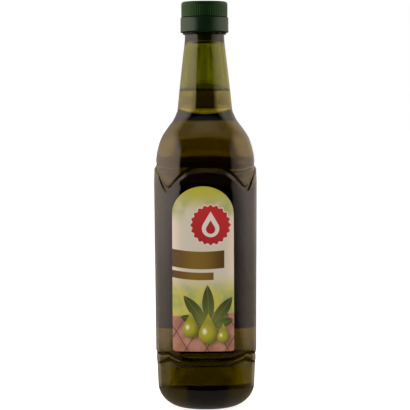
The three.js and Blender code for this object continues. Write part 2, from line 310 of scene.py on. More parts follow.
# Places on the front print: millimetres across from the label's middle, and above the base. A pair is where
# a field of colour starts and where it is full.
YELLOW_RISE = (146, 163)
SAGE_RISE = (138, 150)
SAGE_HEAD = 162
SAGE_FADE = 8
SAGE_PATCHES = (0.4, 0.6)
EDGE_ASIDE = (15, 22.6)
EDGE_RISE = (84, 100)
EDGE_FALL = (138, 152)
EDGE_SHARE = 0.8
MEADOW_FALL = (86, 106)
MEADOW_PATCHES = (0.42, 0.66)
MEADOW_SHARE = 0.8
BARS = [{"foot": 106.5, "head": 119.5, "end": 15.5}, {"foot": 98.5, "head": 104, "end": 7.5}]
BAR_SAG = 0.004
BAR_LIT = -4
BAR_LIT_REACH = 21
BAR_LIT_FROM = 0.1
BAR_GRAIN = 0.1
SEAL = {"centre": (5.5, 139), "radius": 14.2, "points": 20, "depth": 0.7, "rim": 0.9, "soft": 0.2}
SEAL_LIGHT_SLOPE = 0.5
SEAL_LIGHT_REACH = 12
SEAL_DROP = {"centre": (5.5, 136.5), "radius": 6.4, "rise": 12.5}
SEAL_HEART = {"centre": (5.5, 135.9), "radius": 3.4, "rise": 6.6}
TILES_HEAD = 73
TILES_SLOPE = 0.1
TILES_WAVE = 0.22
TILES_WAVE_HEIGHT = 1.2
TILES_SOFT = 0.5
TILE_PITCH = 15
TILE_SLANT = 0.62
TILE_START = 200
TILE_PATCHES = (0.55, 0.85)
TILE_GRAIN = 0.4
JOINT_HALF = 0.35
JOINT_SOFT = 0.25
JOINT_SHARE = 0.85

# Leaves of the fan: foot, direction, length and half width
LEAVES = [
    ((1, 66), 162, 19, 3.6),
    ((2, 66), 128, 27, 4.2),
    ((4, 66), 92, 29, 4.4),
    ((6, 65), 54, 26, 4.2),
    ((7, 64), 20, 16, 3.4),
]
LEAF_MOTTLE = 0.6
LEAF_SHADING = (0.3, 1.3)
LEAF_RIB_HALF = 0.22
LEAF_RIB_SHARE = 0.6

# Oil drops: centre, radius, and how high the tip rises. The shadow's lengths are in millimetres, and those of
# the body's shading and the glint in shares of the radius.
DROPS = [((-9.5, 62), 6.0, 13), ((3.5, 58.5), 7.2, 15.5), ((14.5, 56.5), 4.6, 10)]
DROP_SHADOW = {"aside": 1.5, "down": 1.2, "soft": 1.6, "share": 0.45}
DROP_BODY = {"aside": 0.3, "up": 0.25, "reach": 1.35, "shading": (0.3, 1.15), "tip_from": 0.3}
DROP_GLINT = {"aside": 0.38, "up": 0.3, "reach": 0.34, "height": 0.75, "fading": (0.3, 1), "share": 0.8}

# Colour of the studio's light
WARM = (1, 0.82, 0.74)

# Floor: a patch under the bottle, a lit table and the floor beyond, each between two radii in metres
FLOOR_RINGS = [("patch", 0, 0.08), ("table", 0.08, 3.6), ("floor", 3.6, 60)]
FLOOR_SIDES = 96
FLOOR_GLOW = 0.88
FLOOR_ALBEDO = 0.5
FLOOR_ROUGHNESS = 0.9
FLOOR_MIRRORED = 0.2

# Brightness of the lit table against the distance from the bottle in metres, as it shows through the bottle
BEHIND_LIGHT = [
    (0, 0.9), (0.18, 0.4), (0.24, 0.9), (0.34, 0.8), (0.44, 1.2), (0.56, 1.25), (0.62, 0.6), (0.85, 0.6),
    (1.1, 0.66), (1.2, 0.9), (1.5, 0.9), (1.65, 0.3), (1.9, 0.08), (3.6, 0.08),
]
ASIDE_LIGHT = [
    (0, 1.5), (0.34, 1.5), (0.46, 2.1), (0.6, 2.4), (1.2, 2.3), (1.45, 0.4), (1.7, 0.14), (2.4, 0.14),
    (2.6, 0.8), (3.6, 0.8),
]
ASIDE_FROM = 0.27
ASIDE_TO = 0.36
ASIDE_CENTRE = 0.045
TABLE_NEAR = (1, 0.97, 0.8)

# Softboxes: distance in metres, azimuth from the camera's, heights of foot and head, and peak radiance
SOFTBOX_AWAY = 0.75
SOFTBOX_FACING = 105
SOFTBOX_LOW = -0.2
SOFTBOX_HIGH = 1.2
SOFTBOX_PEAK = 2.0

# Radiance of each softbox against the azimuth from the camera's
LEFT_BRIGHTNESS = [
    (38, 0), (44, 1.4), (60, 1.8), (78, 1.88), (98, 1.75), (120, 1.17), (142, 0.62), (162, 0.46), (168, 0),
]
RIGHT_BRIGHTNESS = [
    (38, 0), (46, 0.5), (56, 0.7), (71, 1.08), (95, 1.4), (123, 0.8), (146, 0.73), (166, 0.58), (169, 0),
]

# Radiance behind the bottle that goes down to the floor, which shows in the bottle's rims
RIM_BRIGHTNESS = [(38, 0), (128, 0), (142, 0.5), (162, 0.4), (169, 0)]

# Share of the softboxes' radiance against height in metres
RISE_BRIGHTNESS = [
    (-0.2, 0.13), (-0.065, 0.2), (-0.052, 0.4), (-0.04, 0.55), (-0.01, 0.6), (0.035, 0.65),
    (0.08, 0.88), (0.13, 1), (0.8, 1), (1.2, 0),
]

# Top light: size in metres, power in watts, and place
TOP_LIGHT_SIZE = 1.6
TOP_LIGHT_POWER = 8
TOP_LIGHT_PLACE = (0, 0.2, 1.7)

# World: brightness to the camera, as fill light, and through the bottle. In mirrors it goes by the height
# of the mirrored ray's direction.
WORLD_SEEN = 1.0
WORLD_AMBIENT = 0.35
WORLD_THROUGH = 0.045
CEILING = [(0, 0), (0.74, 0), (0.79, 0.13), (0.92, 0.17), (0.97, 0.5), (1, 0.7)]

# Camera: level with the upper part of the bottle, a little to the left of its front, looking down a touch.
# Distance and height are in metres, angles in degrees, and the picture's width and the focal length in pixels.
CAMERA_DISTANCE = 1.4203
CAMERA_HEIGHT = 0.2095
CAMERA_AZIMUTH = -2.0
CAMERA_PITCH = 2.31
CAMERA_ROLL = 0.3
SENSOR_WIDTH = 36
FRAME_WIDTH = 410
FOCAL_PIXELS = 1888

# Sides of the round skins
SIDES = 192
ANGLES = np.arange(SIDES) * 2 * math.pi / SIDES


# Small functions of numbers and arrays

def mix(a, b, t):
    return a + (b - a) * t


def clamp(t):
    return np.clip(t, 0, 1)


def smooth(t):
    return clamp(t) ** 2 * (3 - 2 * clamp(t))


# Shape of the bottle

def along(knots, height):
    """Smooth curve through knots of falling height: the half width at each height."""
    heights, widths = knots[::-1, 0], knots[::-1, 1]
    slopes = np.empty(len(knots))
    slopes[1:-1] = (widths[2:] - widths[:-2]) / (heights[2:] - heights[:-2])
    slopes[0] = (widths[1] - widths[0]) / (heights[1] - heights[0])
    slopes[-1] = (widths[-1] - widths[-2]) / (heights[-1] - heights[-2])
    h = np.clip(height, heights[0], heights[-1])
    i = np.clip(np.searchsorted(heights, h, side="right") - 1, 0, len(knots) - 2)
    span = heights[i + 1] - heights[i]
    t = (h - heights[i]) / span
    return (
        widths[i] * (1 + 2 * t) * (1 - t) ** 2
        + slopes[i] * span * t * (1 - t) ** 2
        + widths[i + 1] * (3 - 2 * t) * t ** 2
        + slopes[i + 1] * span * (t - 1) * t ** 2
    )


def section(angle, power):
    """Radius of a section of half width 1, round or squarish by its power."""
    return (np.abs(np.cos(angle)) ** power + np.abs(np.sin(angle)) ** power) ** (-1 / power)


def sideways(angle):
    """How far an angle is from the middle of its face: 0 there, and 1 at the corner."""
    off_middle = np.abs(angle - QUARTER * np.round(angle / QUARTER))
    corner = section(QUARTER / 2, SQUARE_POWER) * math.sin(QUARTER / 2)
    return section(off_middle, SQUARE_POWER) * np.sin(off_middle) / corner


def middle_of(angle, line):
    """Height of a line in the middle of its face: those to the sides have their own."""
    faces_side = np.abs(np.cos(angle)) > np.abs(np.sin(angle))
    return np.where(faces_side, line["side"], line["front"])


def arch_line(angle):
    """Height of the arches, which meet in a rounded foot at the corners."""
    aside = 1 - np.sqrt((1 - sideways(angle)) ** 2 + ARCH_ROUNDING ** 2)
    drop = (np.maximum(0, aside) / (1 - ARCH_ROUNDING)) ** ARCH_POWER
    return mix(middle_of(angle, ARCH_CREST), ARCH_FOOT, drop)


def ridge_line(angle, line):
    """Height of a line under the panels, which rises to the corners."""
    return mix(middle_of(angle, line), line["corner"], sideways(angle) ** LINE_POWER)


def panel_half(height):
    t = (height - PANEL_FOOT["height"]) / (PANEL_TOP["height"] - PANEL_FOOT["height"])
    return mix(PANEL_FOOT["half"], PANEL_TOP["half"], np.minimum(1, t))


def panel_radius(angle, height):
    return panel_half(height) * section(angle, SQUARE_POWER)


def shoulder_radius(angle, height):
    squareness = smooth((ROUND_FROM - height) / (ROUND_FROM - SQUARE_FROM))
    return along(SHOULDER, height) * section(angle, mix(ROUND_POWER, SQUARE_POWER, squareness))


def base_radius(angle, height):
    half = mix(HEEL_HALF, BASE_HALF, clamp((height - HEEL_HEIGHT) / (BASE_TOP - HEEL_HEIGHT)))
    return half * section(angle, mix(ROUND_POWER, BASE_POWER, clamp(height / BASE_TOP)))


def body_radius(angle, height):
    """Outer skin from the neck's cone down to the base."""
    above_lip = height - arch_line(angle)
    upper = ridge_line(angle, RIDGE_TOP)
    lower = ridge_line(angle, RIDGE_FOOT)
    t = clamp((height - lower) / (upper - lower))
    notch_floor = panel_radius(angle, upper) - NOTCH_DEPTH
    ridge = mix(base_radius(angle, lower), notch_floor, t) + RIDGE_HEIGHT * np.sin(math.pi * t)
    step = LIP_SHARE * smooth((LIP_START - above_lip) / (LIP_START - LIP_END))
    step = step + (1 - LIP_SHARE) * smooth((LIP_END - above_lip) / (LIP_END + LIP_FADE))
    groove = GROOVE_DEPTH * (1 - smooth(np.abs(above_lip - GROOVE_CENTRE) / GROOVE_HALF))
    notch = NOTCH_DEPTH * (1 - smooth((height - upper) / NOTCH_REACH))
    skin = mix(shoulder_radius(angle, height), panel_radius(angle, height), step) - groove - notch
    return np.where(height < lower, base_radius(angle, height), np.where(height < upper, ridge, skin))


# Meshes from rings of points

def ring(radius, height, angles=ANGLES):
    heights = np.broadcast_to(height, angles.shape)
    radii = np.broadcast_to(radius, angles.shape)
    return np.stack([radii * np.cos(angles), radii * np.sin(angles), heights], axis=1)


def turned_rings(profile):
    return [ring(radius, height) for radius, height in profile]


def pole(height):
    return np.array([[0.0, 0.0, height]])


def loft(rings, join_ends=False):
    """Points and faces of a closed skin through rings that run up the outside and down the inside."""
    starts = np.cumsum([0] + [len(r) for r in rings])
    faces = []
    count = len(rings) if join_ends else len(rings) - 1
    for k in range(count):
        nxt = (k + 1) % len(rings)
        m, n = len(rings[k]), len(rings[nxt])
        low, high = int(starts[k]), int(starts[nxt])
        sides = max(m, n)
        for i in range(sides):
            j = (i + 1) % sides
            if m == 1:
                faces.append((low, high + j, high + i))
            elif n == 1:
                faces.append((low + i, low + j, high))
            else:
                faces.append((low + i, low + j, high + j, high + i))
    return np.concatenate(rings), faces


def new_piece(name, points, faces, material, slot, node):
    """A smooth mesh that rides on the bottle and stands for a CAD node."""
    mesh = bpy.data.meshes.new(name)
    mesh.from_pydata((np.asarray(points) * MM).tolist(), [], faces)
    mesh.update()
    mesh.materials.append(material)
    mesh.shade_smooth()
    piece = bpy.data.objects.new(name, mesh)
    bpy.context.scene.collection.objects.link(piece)
    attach(piece, "root")
    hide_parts(node)
    return piece


# Bottle and oil

def spread(a, b, count):
    """Shares from a to b without a itself."""
    return [mix(a, b, (i + 1) / count) for i in range(count)]


def body_rows(fineness, top):
    """Heights that follow the grooves from the heel up to a top: one array of heights for each row."""
    lower = ridge_line(ANGLES, RIDGE_FOOT)
    upper = ridge_line(ANGLES, RIDGE_TOP)
    arch = arch_line(ANGLES)
    groove_top = GROOVE_CENTRE + GROOVE_HALF

    def rows(zone, low, high):
        return [low + (high - low) * t for t in spread(0, 1, ROWS[zone] * fineness)]

    def rows_above(line, zone, low, high):
        return [line + d for d in spread(low, high, ROWS[zone] * fineness)]

    return (
        rows("base", np.full(SIDES, HEEL_HEIGHT), lower)
        + rows("ridge", lower, upper)
        + rows_above(upper, "notch", 0, NOTCH_REACH)
        + rows("panel", upper + NOTCH_REACH, arch - LIP_FADE)
        + rows_above(arch, "fade", -LIP_FADE, LIP_END)
        + rows_above(arch, "lip", LIP_END, groove_top)
        + rows("skirt", arch + groove_top, np.full(SIDES, SKIRT_TOP))
        + rows_above(np.zeros(SIDES), "dome", SKIRT_TOP, DOME_TOP)
        + rows_above(np.zeros(SIDES), "neck", DOME_TOP, top)
    )


def foot_rings(wall=0):
    rings = [pole(PUSH_UP + wall)]
    for share in PUSH_UP_RINGS:
        lift = PUSH_UP * math.cos(share * QUARTER) ** PUSH_UP_POWER
        rings.append(ring(RING_INNER * share, lift + wall))
    rings.append(ring(RING_INNER, wall))
    rings.append(ring(RING_OUTER, wall))
    return rings


def heel_rings(rows, wall=0):
    rings = []
    for i in range(1, rows + 1):
        turn = QUARTER * i / rows
        height = mix(HEEL_HEIGHT, wall, math.cos(turn))
        out = mix(RING_OUTER, HEEL_HALF, math.sin(turn)) / HEEL_HALF
        rings.append(ring(out * base_radius(ANGLES, height) - wall * math.sin(turn), height))
    return rings


def body_rings(rows, wall=0):
    """Rings of the body's skin, or of one that lies deeper in the wall, which thickens towards the base."""
    rings = []
    for heights in rows:
        thicker = (BASE_WALL - WALL) * smooth((THIN_ABOVE - heights) / (THIN_ABOVE - THICK_BELOW))
        depth = wall + thicker if wall else 0
        rings.append(ring(body_radius(ANGLES, heights) - depth, heights))
    return rings


def bottle_mesh():
    outside = foot_rings() + heel_rings(OUTSIDE_HEEL_ROWS)
    outside += body_rings(body_rows(OUTSIDE_FINENESS, NECK_CONE_TOP))
    outside += turned_rings(FINISH_OUTSIDE)
    inside = foot_rings(BASE_WALL) + heel_rings(INSIDE_HEEL_ROWS, BASE_WALL)
    inside += body_rings(body_rows(INSIDE_FINENESS, NECK_CONE_TOP), WALL)
    inside += turned_rings(FINISH_INSIDE)
    return loft(outside + inside[::-1])


def oil_mesh():
    inset = WALL - OIL_REACH
    base_inset = BASE_WALL - OIL_REACH
    rings = foot_rings(base_inset) + heel_rings(INSIDE_HEEL_ROWS, base_inset)
    rings += body_rings(body_rows(INSIDE_FINENESS, FILL_HEIGHT + MENISCUS_RISE), inset)
    edge = float(body_radius(ANGLES, np.full(SIDES, FILL_HEIGHT))[0]) - inset
    for share in MENISCUS_RINGS:
        height = FILL_HEIGHT + MENISCUS_RISE * (1 - share) ** MENISCUS_POWER
        rings.append(ring(edge - MENISCUS_REACH * share, height))
    rings.append(pole(FILL_HEIGHT))
    return loft(rings)


# Pourer, cap and band

def pourer_mesh():
    return loft(turned_rings(POURER_PROFILE), join_ends=True)


def band_mesh():
    return loft(turned_rings(BAND_PROFILE), join_ends=True)


def cap_mesh():
    """Cap with a straight bore, ribs round its skirt, a rounded top edge and a shallow recess on top."""
    angles = np.arange(RIBS * POINTS_PER_RIB) * 2 * math.pi / (RIBS * POINTS_PER_RIB)
    phase = (angles * RIBS / (2 * math.pi)) % 1
    valley = 1 - np.abs(np.cos(math.pi * phase)) ** RIB_POWER

    def plain(radius, height):
        return ring(radius, height, angles)

    def ribbed(depth, height):
        return ring(CAP_RADIUS - RIB_DEPTH * depth * valley, height, angles)

    rib_foot = CAP_FOOT + RIB_FOOT_GAP
    rib_top = CAP_TOP - RIB_TOP_GAP
    rings = [
        pole(CAP_TOP - CAP_TOP_WALL),
        plain(CAP_BORE, CAP_TOP - CAP_TOP_WALL),
        plain(CAP_BORE, CAP_FOOT),
        plain(CAP_RADIUS - CAP_FOOT_INSET, CAP_FOOT),
        ribbed(0, CAP_FOOT + CAP_FOOT_EDGE),
    ]
    rings += [ribbed(depth, rib_foot + RIB_RISE * depth) for depth in RIB_FOOT_DEPTHS]
    rings += [ribbed(depth, rib_top - RIB_FALL * depth) for depth in RIB_TOP_DEPTHS]
    for i in range(1, CAP_EDGE_ROWS + 1):
        turn = QUARTER * i / CAP_EDGE_ROWS
        radius = CAP_RADIUS - CAP_EDGE * (1 - math.cos(turn))
        rings.append(plain(radius, CAP_TOP - CAP_EDGE * (1 - math.sin(turn))))
    rings.append(plain(RECESS_RADIUS, CAP_TOP))
    rings.append(plain(RECESS_FLOOR_RADIUS, CAP_TOP - RECESS_DEPTH))
    rings.append(pole(CAP_TOP - RECESS_DEPTH))
    return loft(rings)


# Labels

def label_points(label, lift):
    """A grid of points over the label's outline, lifted off the panel."""
    across = -np.cos(np.linspace(0, math.pi, LABEL_COLUMNS + 1))[None, :]
    up = np.linspace(0, 1, LABEL_ROWS + 1)[:, None]
    in_from_edge = label["half"] * (1 - np.abs(across))
    corner = np.maximum(0, LABEL_CORNER - in_from_edge)
    foot = label["foot"] + LABEL_CORNER - np.sqrt(LABEL_CORNER ** 2 - corner ** 2)
    head = label["spring"] + label["rise"] * np.sqrt(np.maximum(0, 1 - across ** 2))
    height = mix(foot, head, up)
    half = panel_half(height) + lift
    lateral = label["half"] * across + label["shift"]
    forward = (half ** SQUARE_POWER - np.abs(lateral) ** SQUARE_POWER) ** (1 / SQUARE_POWER)
    x = np.broadcast_to(lateral, height.shape)
    return np.stack([x, label["side"] * forward, height], axis=2)


def label_mesh(label):
    """Thin curved plate: two faces on one grid, joined round their edge."""
    layers = [label_points(label, LABEL_GAP), label_points(label, LABEL_GAP + LABEL_THICKNESS)]
    points = np.concatenate([layer.reshape(-1, 3) for layer in layers])
    per_layer = (LABEL_ROWS + 1) * (LABEL_COLUMNS + 1)
    top, end = LABEL_ROWS, LABEL_COLUMNS

    def index(layer, i, j):
        return layer * per_layer + j * (LABEL_COLUMNS + 1) + i

    faces = []

    def quad(*corners):
        faces.append(corners if label["side"] < 0 else corners[::-1])

    for j in range(LABEL_ROWS):
        for i in range(LABEL_COLUMNS):
            quad(index(1, i, j), index(1, i + 1, j), index(1, i + 1, j + 1), index(1, i, j + 1))
            quad(index(0, i, j), index(0, i, j + 1), index(0, i + 1, j + 1), index(0, i + 1, j))
    for i in range(LABEL_COLUMNS):
        quad(index(0, i, 0), index(0, i + 1, 0), index(1, i + 1, 0), index(1, i, 0))
        quad(index(0, i + 1, top), index(0, i, top), index(1, i, top), index(1, i + 1, top))
    for j in range(LABEL_ROWS):
        quad(index(0, 0, j + 1), index(0, 0, j), index(1, 0, j), index(1, 0, j + 1))
        quad(index(0, end, j), index(0, end, j + 1), index(1, end, j + 1), index(1, end, j))
    return points, faces


# Node helpers

class Field:
    """A number that varies over a surface, made of math nodes, so that shapes can be written as sums."""

    def __init__(self, tree, value):
        self.tree, self.value = tree, value

    def made(self, operation, *others, clamped=False):
        node = self.tree.nodes.new("ShaderNodeMath")
        node.operation = operation
        node.use_clamp = clamped
        for slot, other in zip(node.inputs, (self, *others)):
            value = other.value if isinstance(other, Field) else other
            if isinstance(value, bpy.types.NodeSocket):
                self.tree.links.new(value, slot)
            else:
                slot.default_value = value
        return Field(self.tree, node.outputs[0])

    def __add__(self, other):
        return self.made("ADD", other)

    def __sub__(self, other):
        return self.made("SUBTRACT", other)

    def __rsub__(self, other):
        return self.made("MULTIPLY_ADD", -1, other)

    def __mul__(self, other):
        return self.made("MULTIPLY", other)

    def __truediv__(self, other):
        return self.made("DIVIDE", other)

    def size(self):
        return self.made("ABSOLUTE")

    def least(self, other):
        return self.made("MINIMUM", other)

    def most(self, other):
        return self.made("MAXIMUM", other)

    def share(self, start, end, eased=True):
        """0 at the start and 1 at the end."""
        node = self.tree.nodes.new("ShaderNodeMapRange")
        node.interpolation_type = "SMOOTHSTEP" if eased else "LINEAR"
        node.inputs["From Min"].default_value = start
        node.inputs["From Max"].default_value = end
        self.tree.links.new(self.value, node.inputs["Value"])
        return Field(self.tree, node.outputs["Result"])

    def inside(self, soft=0.15):
        """1 where a distance to an edge is negative, and 0 beyond it."""
        return 1 - self.share(-soft, soft)


def length(a, b):
    return (a * a + b * b).made("SQRT")


def turned(x, z, centre, degrees):
    """Coordinates about a centre, along a direction and across it."""
    c, s = math.cos(math.radians(degrees)), math.sin(math.radians(degrees))
    dx, dz = x - centre[0], z - centre[1]
    return dx * c + dz * s, dz * c - dx * s


def opaque(colour):
    return (*colour, 1)


def paint(tree, below, above, mask):
    """Lays one colour over another. Each is a colour or the output of a node."""
    node = tree.nodes.new("ShaderNodeMix")
    node.data_type = "RGBA"
    for slot, colour in (("A", below), ("B", above)):
        if isinstance(colour, bpy.types.NodeSocket):
            tree.links.new(colour, node.inputs[slot])
        else:
            node.inputs[slot].default_value = opaque(colour)
    tree.links.new(mask.value, node.inputs["Factor"])
    return node.outputs["Result"]


def ramp(tree, stops, place):
    """A number read off a list of places and values, both from 0 to 1."""
    node = tree.nodes.new("ShaderNodeValToRGB")
    elements = node.color_ramp.elements
    elements[0].position, elements[1].position = stops[0][0], stops[-1][0]
    elements[0].color, elements[1].color = opaque([stops[0][1]] * 3), opaque([stops[-1][1]] * 3)
    for position, value in stops[1:-1]:
        elements.new(position).color = opaque([value] * 3)
    tree.links.new(place, node.inputs[0])
    return Field(tree, node.outputs[0])


def noise(tree, place, scale, detail=2):
    node = tree.nodes.new("ShaderNodeTexNoise")
    node.inputs["Scale"].default_value = scale
    node.inputs["Detail"].default_value = detail
    tree.links.new(place, node.inputs["Vector"])
    return Field(tree, node.outputs["Fac"])


def bumped(tree, shader, height, strength, distance):
    node = tree.nodes.new("ShaderNodeBump")
    node.inputs["Strength"].default_value = strength
    node.inputs["Distance"].default_value = distance
    tree.links.new(height.value, node.inputs["Height"])
    tree.links.new(node.outputs[0], shader.inputs["Normal"])


def surface_place(tree):
    return tree.nodes.new("ShaderNodeTexCoord").outputs["Object"]


def parts_of(tree, vector):
    """The X, Y and Z of a vector."""
    node = tree.nodes.new("ShaderNodeSeparateXYZ")
    tree.links.new(vector, node.inputs[0])
    return [Field(tree, output) for output in node.outputs]


def new_material(name):
    material = bpy.data.materials.new(name)
    material.use_nodes = True
    nodes = material.node_tree.nodes
    return material, material.node_tree, nodes["Principled BSDF"]


# Materials

def clear_material(name, ior, roughness, absorb, density, haze, ripple):
    """Clear glass-like body that takes colour from the light's way through it."""
    material, tree, shader = new_material(name)
    place = surface_place(tree)
    cloud = noise(tree, place, HAZE_SCALE)
    tree.links.new(paint(tree, (1, 1, 1), haze, cloud.share(*HAZE_PATCHES)), shader.inputs["Base Color"])
    shader.inputs["Transmission Weight"].default_value = 1
    shader.inputs["IOR"].default_value = ior
    shader.inputs["Roughness"].default_value = roughness
    if ripple:
        bumped(tree, shader, noise(tree, place, RIPPLE_SCALE, RIPPLE_DETAIL), ripple, RIPPLE_SIZE)
    volume = tree.nodes.new("ShaderNodeVolumeAbsorption")
    volume.inputs["Color"].default_value = opaque(absorb)
    volume.inputs["Density"].default_value = density
    tree.links.new(volume.outputs[0], tree.nodes["Material Output"].inputs["Volume"])
    return material


def pet_material():
    """Tinted plastic that mirrors only where its faces are marked as dry, and not where oil wets it."""
    material = clear_material("olive_tinted_pet", **PET)
    tree = material.node_tree
    dry = tree.nodes.new("ShaderNodeAttribute")
    dry.attribute_name = "dry"
    tree.links.new(dry.outputs["Fac"], tree.nodes["Principled BSDF"].inputs["Specular Tint"])
    return material


def oil_material():
    """Golden oil without a mirror of its own, because it touches the plastic nearly everywhere."""
    material = clear_material("golden_oil", **OIL)
    shader = material.node_tree.nodes["Principled BSDF"]
    shader.inputs["Specular Tint"].default_value = opaque((0, 0, 0))
    return material


def mark_dry_faces(skin, points, faces):
    """Marks the bottle's faces that touch air: all but its inside below the oil's surface."""
    corners = np.array([[points[i] for i in (face[0], face[1], face[-1])] for face in faces])
    first, second, last = corners[:, 0], corners[:, 1], corners[:, 2]
    facing = np.cross(second - first, last - first)
    faces_in = (facing[:, :2] * first[:, :2]).sum(axis=1) < 0
    wet = faces_in & (first[:, 2] < FILL_HEIGHT)
    wet |= (first[:, 2] < WET_FLOOR_BELOW) & (facing[:, 2] > 0)
    dry = skin.data.attributes.new("dry", "FLOAT", "FACE")
    dry.data.foreach_set("value", (~wet).astype(np.float32))


def opaque_material(name, colour, spread, roughness, grain, tint=(1, 1, 1), shine=0.5):
    """Plastic or print whose colour and roughness are mottled a little, with a fine grain."""
    material, tree, shader = new_material(name)
    place = surface_place(tree)
    fine = noise(tree, place, GRAIN_SCALE, GRAIN_DETAIL)
    mottle = noise(tree, place, CLOUD_SCALE) * CLOUD_SHARE + fine * (1 - CLOUD_SHARE)
    darker = [c * (1 - spread) for c in colour]
    lighter = [c * (1 + spread) for c in colour]
    tree.links.new(paint(tree, darker, lighter, mottle.share(*MOTTLE_PATCHES)), shader.inputs["Base Color"])
    rough = mottle * ROUGHNESS_SPREAD + (roughness - ROUGHNESS_SPREAD / 2)
    tree.links.new(rough.value, shader.inputs["Roughness"])
    bumped(tree, shader, fine, grain, GRAIN_SIZE)
    shader.inputs["Specular Tint"].default_value = opaque(tint)
    shader.inputs["Specular IOR Level"].default_value = shine
    return material


# Front print: each function lays one part of it over the colour so far

def drop_edge(x, z, centre, radius, rise):
    """Distance to a drop: a disc with a tip that leans in to a point above it."""
    dx, dz = (x - centre[0]).size(), z - centre[1]
    disc = length(dx, dz) - radius
    half = math.asin(radius / rise)
    side = dx * math.cos(half) + (dz - rise) * math.sin(half)
    tip = side.most(radius * math.sin(half) - dz).most(dz - rise)
    return disc.least(tip)


def leaf_edges(x, z, foot, degrees, reach, half):
    """Distance to a leaf between two arcs, distance to its midrib, and the share of the way along it."""
    along_leaf, across_leaf = turned(x, z, foot, degrees)
    bow = (reach * reach / 4 - half * half) / (2 * half)
    arc = length(along_leaf - reach / 2, across_leaf.size() + bow) - (bow + half)
    return arc, across_leaf.size(), along_leaf / reach


def print_ground(tree, x, z, soft, cloud):
    """Yellow-green head over cream, with a sage patch, warm edges and a meadow below."""
    colour = paint(tree, CREAM, TOP_YELLOW, z.share(*YELLOW_RISE))
    patch = z.share(*SAGE_RISE) * (SAGE_HEAD - z).share(0, SAGE_FADE) * soft.share(*SAGE_PATCHES)
    colour = paint(tree, colour, SAGE, patch)
    edge = x.size().share(*EDGE_ASIDE) * (1 - z.share(*EDGE_FALL)) * z.share(*EDGE_RISE)
    colour = paint(tree, colour, WARM_EDGE, edge * EDGE_SHARE)
    meadow = paint(tree, MEADOW, MEADOW_SHADE, cloud.share(*MEADOW_PATCHES) * MEADOW_SHARE)
    return paint(tree, colour, meadow, 1 - z.share(*MEADOW_FALL))


def print_bars(tree, colour, x, z, fine):
    """Two bare gold bars from the left edge, which sag a little and darken away from their lit part."""
    for bar in BARS:
        middle, half = (bar["foot"] + bar["head"]) / 2, (bar["head"] - bar["foot"]) / 2
        rows = (z - x * x * BAR_SAG - middle).size() - half
        away = ((x - BAR_LIT).size() / BAR_LIT_REACH).share(BAR_LIT_FROM, 1)
        gold = paint(tree, BAR_GOLD, BAR_DARK, away * (1 - BAR_GRAIN) + fine * BAR_GRAIN)
        colour = paint(tree, colour, gold, rows.most(x - bar["end"]).inside())
    return colour


def print_seal(tree, colour, x, z):
    """Red scalloped seal with a pale rim, and a pale drop with a red heart in it."""
    across, up = x - SEAL["centre"][0], z - SEAL["centre"][1]
    scallop = (up.made("ARCTAN2", across) * SEAL["points"]).made("COSINE") * SEAL["depth"]
    edge = length(across, up) - scallop - SEAL["radius"]
    lit = (x * SEAL_LIGHT_SLOPE + up).share(-SEAL_LIGHT_REACH, SEAL_LIGHT_REACH)
    red = paint(tree, SEAL_RED, SEAL_RED_LIT, lit)
    colour = paint(tree, colour, SEAL_CREAM, (edge - SEAL["rim"]).inside(SEAL["soft"]))
    colour = paint(tree, colour, red, edge.inside())
    colour = paint(tree, colour, SEAL_CREAM, drop_edge(x, z, **SEAL_DROP).inside())
    return paint(tree, colour, SEAL_RED, drop_edge(x, z, **SEAL_HEART).inside())


def print_tiles(tree, colour, x, z, cloud, fine):
    """Terracotta lozenges with dark joints, under a wavy edge."""
    edge = z - TILES_HEAD - x * TILES_SLOPE - (x * TILES_WAVE).made("SINE") * TILES_WAVE_HEIGHT
    tiles = paint(tree, TILE, TILE_SHADE, (cloud + fine * TILE_GRAIN).share(*TILE_PATCHES))
    for slant in (TILE_SLANT, -TILE_SLANT):
        run = (x + z * slant + TILE_START).made("MODULO", TILE_PITCH)
        joint = (run - TILE_PITCH / 2).size() - JOINT_HALF
        tiles = paint(tree, tiles, JOINT, joint.inside(JOINT_SOFT) * JOINT_SHARE)
    return paint(tree, colour, tiles, edge.inside(TILES_SOFT))


def print_leaves(tree, colour, x, z, soft):
    for leaf in LEAVES:
        edge, off_rib, share = leaf_edges(x, z, *leaf)
        shade = paint(tree, LEAF_LIGHT, LEAF_DARK, (share + soft * LEAF_MOTTLE).share(*LEAF_SHADING))
        shade = paint(tree, shade, LEAF_RIB, (off_rib - LEAF_RIB_HALF).inside() * LEAF_RIB_SHARE)
        colour = paint(tree, colour, shade, edge.inside())
    return colour


def print_drops(tree, colour, x, z):
    """Golden-green oil drops, each with a soft shadow, a darker foot and a glint."""
    shadow, body, glint = DROP_SHADOW, DROP_BODY, DROP_GLINT
    for centre, radius, rise in DROPS:
        fallen = (centre[0] + shadow["aside"], centre[1] - shadow["down"])
        dim = drop_edge(x, z, fallen, radius, rise).inside(shadow["soft"]) * shadow["share"]
        colour = paint(tree, colour, JOINT, dim)
        dx, dz = x - centre[0], z - centre[1]
        off_body = length(dx + radius * body["aside"], dz - radius * body["up"]) / (radius * body["reach"])
        in_tip = dz.share(radius * body["tip_from"], rise)
        green = paint(tree, DROP_GREEN, DROP_SHADE, off_body.share(*body["shading"]) * (1 - in_tip))
        off_glint = length(dx + radius * glint["aside"], (dz - radius * glint["up"]) * glint["height"])
        shine = 1 - (off_glint / (radius * glint["reach"])).share(*glint["fading"])
        green = paint(tree, green, DROP_SHINE, shine * glint["share"])
        colour = paint(tree, colour, green, drop_edge(x, z, centre, radius, rise).inside())
    return colour


